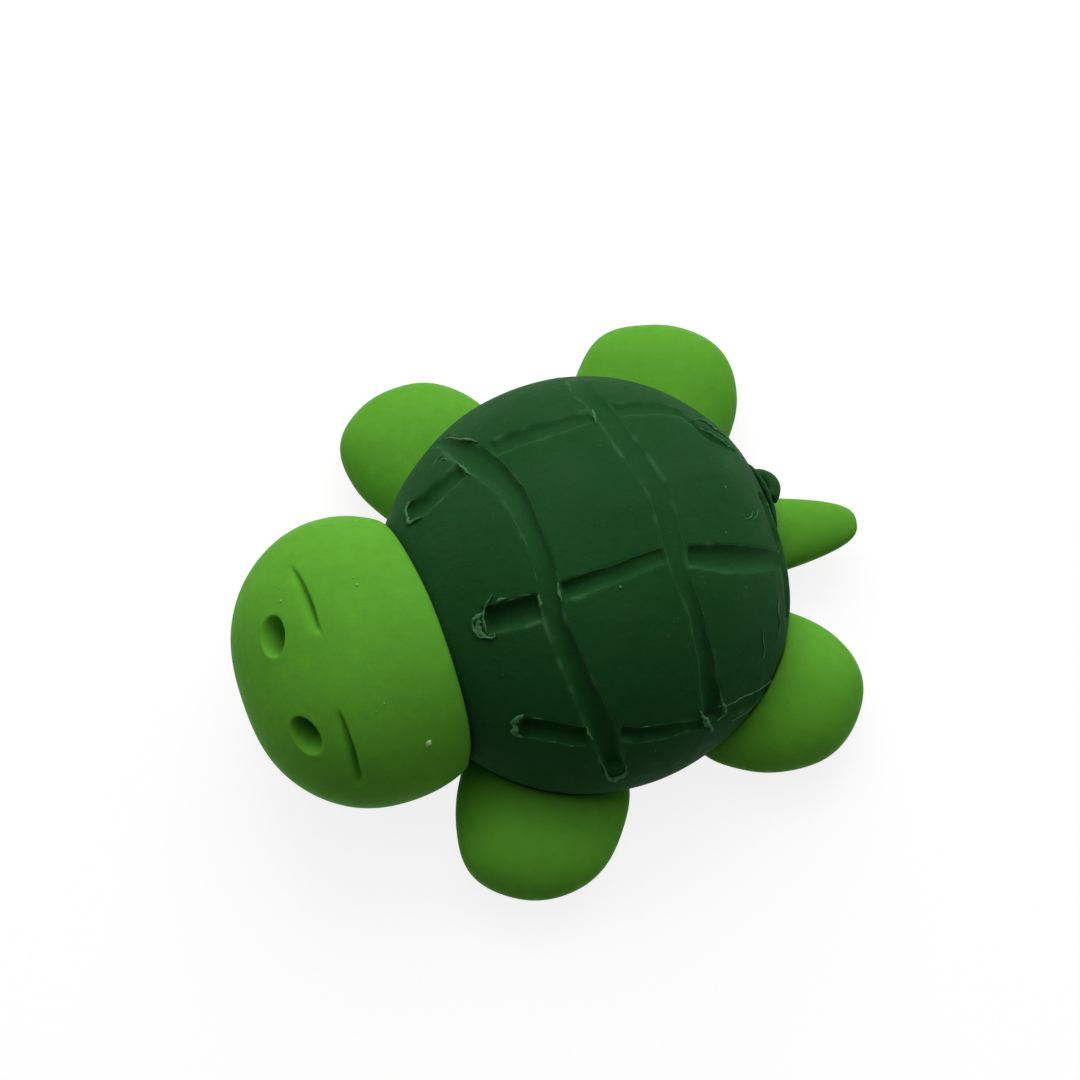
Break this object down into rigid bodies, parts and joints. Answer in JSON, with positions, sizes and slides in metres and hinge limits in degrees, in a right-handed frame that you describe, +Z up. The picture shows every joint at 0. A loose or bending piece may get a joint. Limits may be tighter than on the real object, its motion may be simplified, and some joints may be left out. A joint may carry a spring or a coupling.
{
  "type": "clay tortoise figurine",
  "caption": "Small hand-shaped tortoise of modelling clay: a gouged dark green dome pressed onto a light green head, legs and tail, lying flat as an ornament.",
  "frame": {"origin": "centre of the shell's flat belly, on the plane that the figure rests on", "axes": "+Z up, -Y along the heading, from tail to head, and +X to the animal's left"},
  "size_m": [0.054, 0.0623, 0.0235],
  "materials": {
    "dark_green_clay": "matt polymer clay with gouged grooves and torn burrs",
    "light_green_clay": "matt polymer clay, smoothed by hand"
  },
  "bodies": {
    "root": {"shell": "dark_green_clay", "head": "light_green_clay", "front_left_leg": "light_green_clay", "front_right_leg": "light_green_clay", "rear_left_leg": "light_green_clay", "rear_right_leg": "light_green_clay", "tail": "light_green_clay"}
  },
  "joints": []
}
